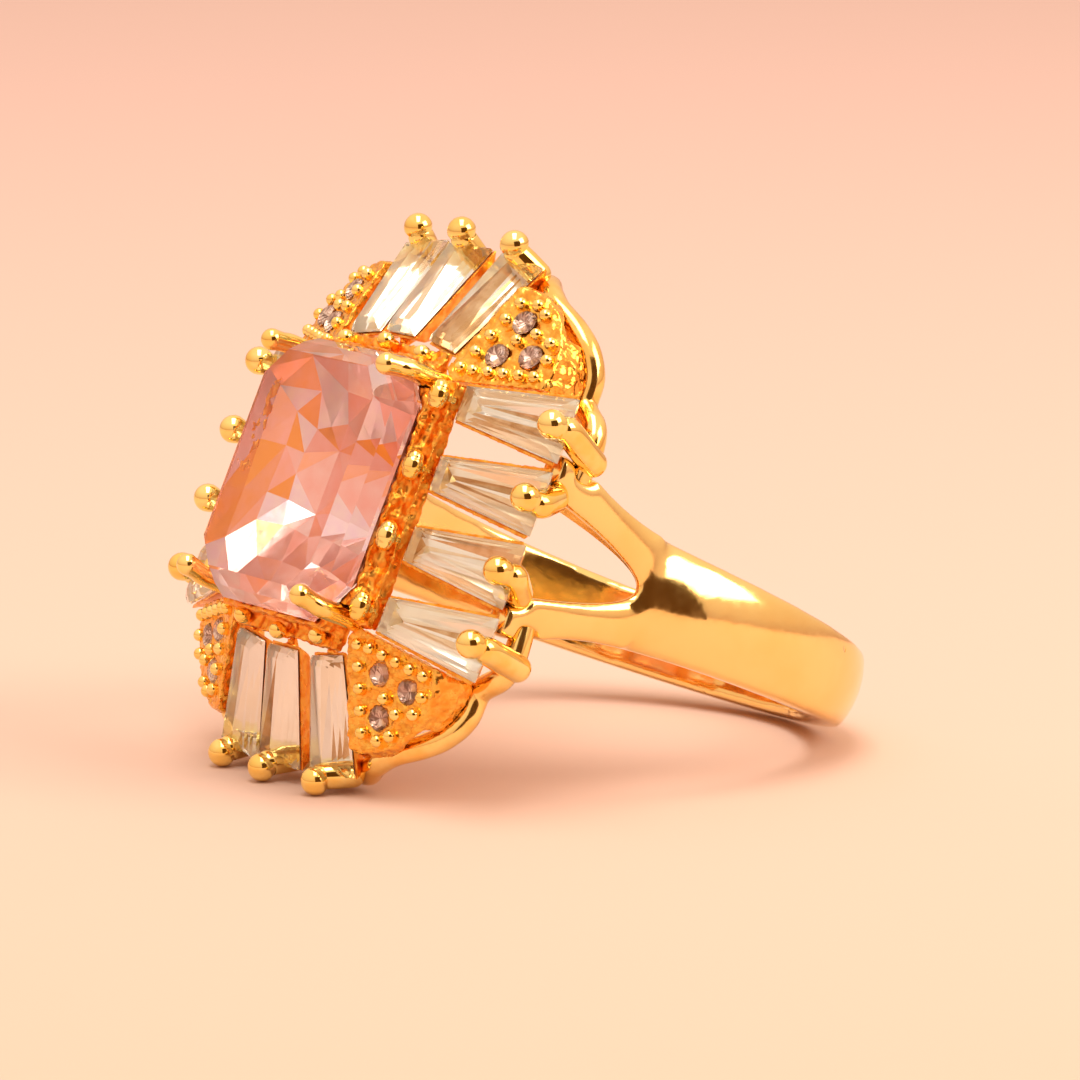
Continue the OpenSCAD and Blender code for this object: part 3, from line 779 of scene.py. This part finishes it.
def build_gold():
    """Every gold piece."""
    shank()
    for is_bottom, half in enumerate(("top", "bottom")):
        rail(f"gallery_rail_{half}", is_bottom)
    casting("centre_basket", GOLD_CAST_PAINTED_SHADE, 0.05, 14, rough=0.11, lumps=0.42)
    for is_left, side in enumerate(("right", "left")):
        row_of_rods(f"outer_prongs_{side}", [outer_prong_long], LONG_SLOTS, is_left)
        row_of_rods(f"inner_beads_{side}", [inner_bead_long, bead_post_long], LONG_SLOTS, is_left)
        casting(f"seats_{side}", GOLD_CAST_PAINTED_SHADE, 0.045, 3, rough=0.02)
    for is_bottom, side in enumerate(("top", "bottom")):
        row_of_rods(f"outer_prongs_{side}", [outer_prong_short], SHORT_SLOTS, is_bottom)
        row_of_rods(f"inner_beads_{side}", [inner_bead_short], SHORT_SLOTS, is_bottom)
        casting(f"seats_{side}", GOLD_CAST_PAINTED_SHADE, 0.045, 3, rough=0.02)
    for corner, sx, sy in CORNERS:
        claw(f"claw_{corner}", sx, sy)
        casting(f"plate_{corner}", GOLD_PAVE_PAINTED_SHADE, 0.05, 8, rough=0.07, lumps=0.35)
        grains(f"grains_{corner}", sx, sy)


def build_baguettes():
    """The baguettes, each with a random seed of its own for its facets' tones."""
    long_seed, short_seed, opposite_side = 11, 41, 10
    for is_left, side in enumerate(("right", "left")):
        for i, slot in enumerate(LONG_SLOTS):
            a = up(5.4, BEAD_PITCH[0] * slot, -0.76)
            b = up(9.6, BALL_PITCH[0] * slot, -2.5)
            baguette(f"baguette_{side}_{i + 1}", a, b, (1.25, 2.35), is_left,
                     long_seed + i + opposite_side * is_left)
    for is_bottom, side in enumerate(("top", "bottom")):
        for i, slot in enumerate(SHORT_SLOTS):
            lift = bow(slot)
            a = up(BEAD_PITCH[1] * slot, 5.78 + 0.15 * lift, -1.05 + 0.2 * lift)
            b = up(3.12 * slot, 9.72 + 0.1 * lift, -2.66 + 0.24 * lift)
            baguette(f"baguette_{side}_{i + 1}", a, b, (1.7, 2.5), is_bottom,
                     short_seed + i + opposite_side * is_bottom)


def build_stones():
    """Every stone."""
    pink_stone()
    build_baguettes()
    for corner, sx, sy in CORNERS:
        for i in (1, 2, 3):
            round_stone(f"round_stone_{corner}_{i}", sx, sy)


# ---- stage ---------------------------------------------------------------------------------------

CAMERA_AZIMUTH, CAMERA_HEIGHT, CAMERA_ROLL = 56.554, 9.135, -0.149     # degrees
CAMERA_FAR_M = 0.25
VIEW_WIDTH_M = 0.038164             # width of the view at the head
VIEW_SHIFT = (-7.6006, 2.0519)      # where the head's middle stands from the view's middle, mm
TABLE_HALF_M = 1.5


def camera_axes():
    """The camera's right, up and backward directions."""
    a, e, r = (math.radians(x) for x in (CAMERA_AZIMUTH, CAMERA_HEIGHT, CAMERA_ROLL))
    back = np.array([math.sin(a) * math.cos(e), -math.cos(a) * math.cos(e), math.sin(e)])
    right = np.array([math.cos(a), math.sin(a), 0.0])
    upward = np.cross(back, right)
    return (right * math.cos(r) - upward * math.sin(r),
            right * math.sin(r) + upward * math.cos(r), back)


def add_camera():
    """A long lens from above and to the right of the head's front."""
    right, upward, back = camera_axes()
    target = place([0, 0, BEADS])
    data = bpy.data.cameras.new("camera")
    data.sensor_width = 36
    data.lens = 36 * CAMERA_FAR_M / VIEW_WIDTH_M
    data.clip_start, data.clip_end = 0.01, 10
    camera = bpy.data.objects.new("camera", data)
    bpy.context.scene.collection.objects.link(camera)
    at = target - right * VIEW_SHIFT[0] * MM - upward * VIEW_SHIFT[1] * MM + back * CAMERA_FAR_M
    turn = Matrix([list(right), list(upward), list(back)]).transposed().to_4x4()
    camera.matrix_world = Matrix.Translation(Vector(at)) @ turn
    bpy.context.scene.camera = camera


def flat_mesh(name, corners_m, material, cuts=1):
    """A flat four-cornered sheet of the stage, cut into a grid."""
    a, b, c, d = (np.array(p, float) for p in corners_m)
    ts = np.linspace(0, 1, cuts + 1)
    points = [(1 - v) * ((1 - u) * a + u * b) + v * ((1 - u) * d + u * c) for v in ts for u in ts]
    row = cuts + 1
    faces = [[j * row + i, j * row + i + 1, (j + 1) * row + i + 1, (j + 1) * row + i]
             for j in range(cuts) for i in range(cuts)]
    mesh = bpy.data.meshes.new(name)
    mesh.from_pydata([list(p) for p in points], [], faces)
    mesh.materials.append(material)
    obj = bpy.data.objects.new(name, mesh)
    bpy.context.scene.collection.objects.link(obj)
    return obj


def table_material():
    """Pale peach paper, a little pinker far from the camera and yellower near it."""
    s = Shader("table_paper")
    s.surface.inputs["Roughness"].default_value = 0.9
    s.surface.inputs["Specular IOR Level"].default_value = 0.15
    where = s.node("ShaderNodeTexCoord")
    back = camera_axes()[2]
    towards = s.node("ShaderNodeVectorMath", operation="DOT_PRODUCT")
    towards.inputs[1].default_value = (back[0], back[1], 0)
    s.link(where.outputs["Object"], towards.inputs[0])
    share = s.spread(towards.outputs["Value"], -0.25, 0.08, 0.0, 1.0)
    colour = s.ramp(share, [(0.0, (0.67, 0.46, 0.42)), (0.75, (0.67, 0.47, 0.40)),
                            (1.0, (0.635, 0.425, 0.335))], smooth=False)
    s.link(colour, s.surface.inputs["Base Color"])
    s.bump(s.noise(0.4, 4.0), 0.05, 0.02)
    return s.material


def card_material():
    """Dull dark brown card."""
    s = Shader("dark_card")
    s.surface.inputs["Base Color"].default_value = (0.10, 0.06, 0.022, 1)
    s.surface.inputs["Roughness"].default_value = 1.0
    s.surface.inputs["Specular IOR Level"].default_value = 0.0
    return s.material


def add_table():
    """A wide table at the ring's lowest point."""
    z, half = min(CAD_BOX[0][2], 0.0), TABLE_HALF_M
    flat_mesh("table", [(-half, -half, z), (half, -half, z), (half, half, z), (-half, half, z)],
              table_material(), 8)


def direction(azimuth, elevation):
    """The unit direction from the head to something at these angles, in degrees."""
    a, e = math.radians(azimuth), math.radians(elevation)
    return np.array([math.sin(a) * math.cos(e), -math.cos(a) * math.cos(e), math.sin(e)])


def add_dark_card(name, azimuth, elevation, far_m, half_w_m, half_h_m):
    """A small dark card that nothing but gold and polished stone reflects."""
    head = place([0, 0, BEADS])
    out = direction(azimuth, elevation)
    side = unit(np.cross([0, 0, 1], out))
    rise = np.cross(out, side)
    c = head + out * far_m
    corners_m = [c - side * half_w_m - rise * half_h_m, c + side * half_w_m - rise * half_h_m,
                 c + side * half_w_m + rise * half_h_m, c - side * half_w_m + rise * half_h_m]
    card = flat_mesh(name, corners_m, card_material())
    card.visible_camera = False
    card.visible_diffuse = False
    card.visible_transmission = False
    card.visible_shadow = False


def add_softbox(name, azimuth, elevation, far_m, size_m, watts, colour):
    """A rectangular lamp that faces the head."""
    head = place([0, 0, BEADS])
    out = direction(azimuth, elevation)
    data = bpy.data.lights.new(name, "AREA")
    data.shape = "RECTANGLE"
    data.size, data.size_y = size_m
    data.energy = watts
    data.color = colour
    light = bpy.data.objects.new(name, data)
    bpy.context.scene.collection.objects.link(light)
    aim = Vector(-out).to_track_quat("-Z", "Y").to_matrix().to_4x4()
    light.matrix_world = Matrix.Translation(Vector(head + out * far_m)) @ aim


def add_world():
    """Soft peach light from all round, brightest overhead and dimmest at the horizon."""
    world = bpy.data.worlds.new("room")
    bpy.context.scene.world = world
    world.use_nodes = True
    nodes, links = world.node_tree.nodes, world.node_tree.links
    where = nodes.new("ShaderNodeTexCoord")
    split = nodes.new("ShaderNodeSeparateXYZ")
    ramp = nodes.new("ShaderNodeValToRGB")
    stops = [(0.0, (0.65, 0.37, 0.265)), (0.12, (0.84, 0.54, 0.38)), (0.35, (0.92, 0.66, 0.48)),
             (0.75, (1.0, 0.83, 0.66))]
    elements = ramp.color_ramp.elements
    while len(elements) < len(stops):
        elements.new(0.5)
    for element, (at, colour) in zip(elements, stops):
        element.position = at
        element.color = (*colour, 1)
    links.new(where.outputs["Generated"], split.inputs[0])
    links.new(split.outputs["Z"], ramp.inputs["Fac"])
    links.new(ramp.outputs["Color"], nodes["Background"].inputs["Color"])
    nodes["Background"].inputs["Strength"].default_value = 1.1


def build_stage():
    """Table, camera and lights."""
    add_table()
    add_camera()
    add_world()
    add_softbox("overhead", CAMERA_AZIMUTH, 80, 0.42, (0.17, 0.45), 1.3, (1.0, 0.93, 0.82))
    add_softbox("fill", 125, 33, 0.40, (0.25, 0.20), 0.85, (1.0, 0.88, 0.72))
    add_dark_card("dark_side", 81, 15, 0.12, 0.055, 0.046)
    bpy.context.scene.view_settings.view_transform = "Standard"


build_gold()
build_stones()
build_stage()
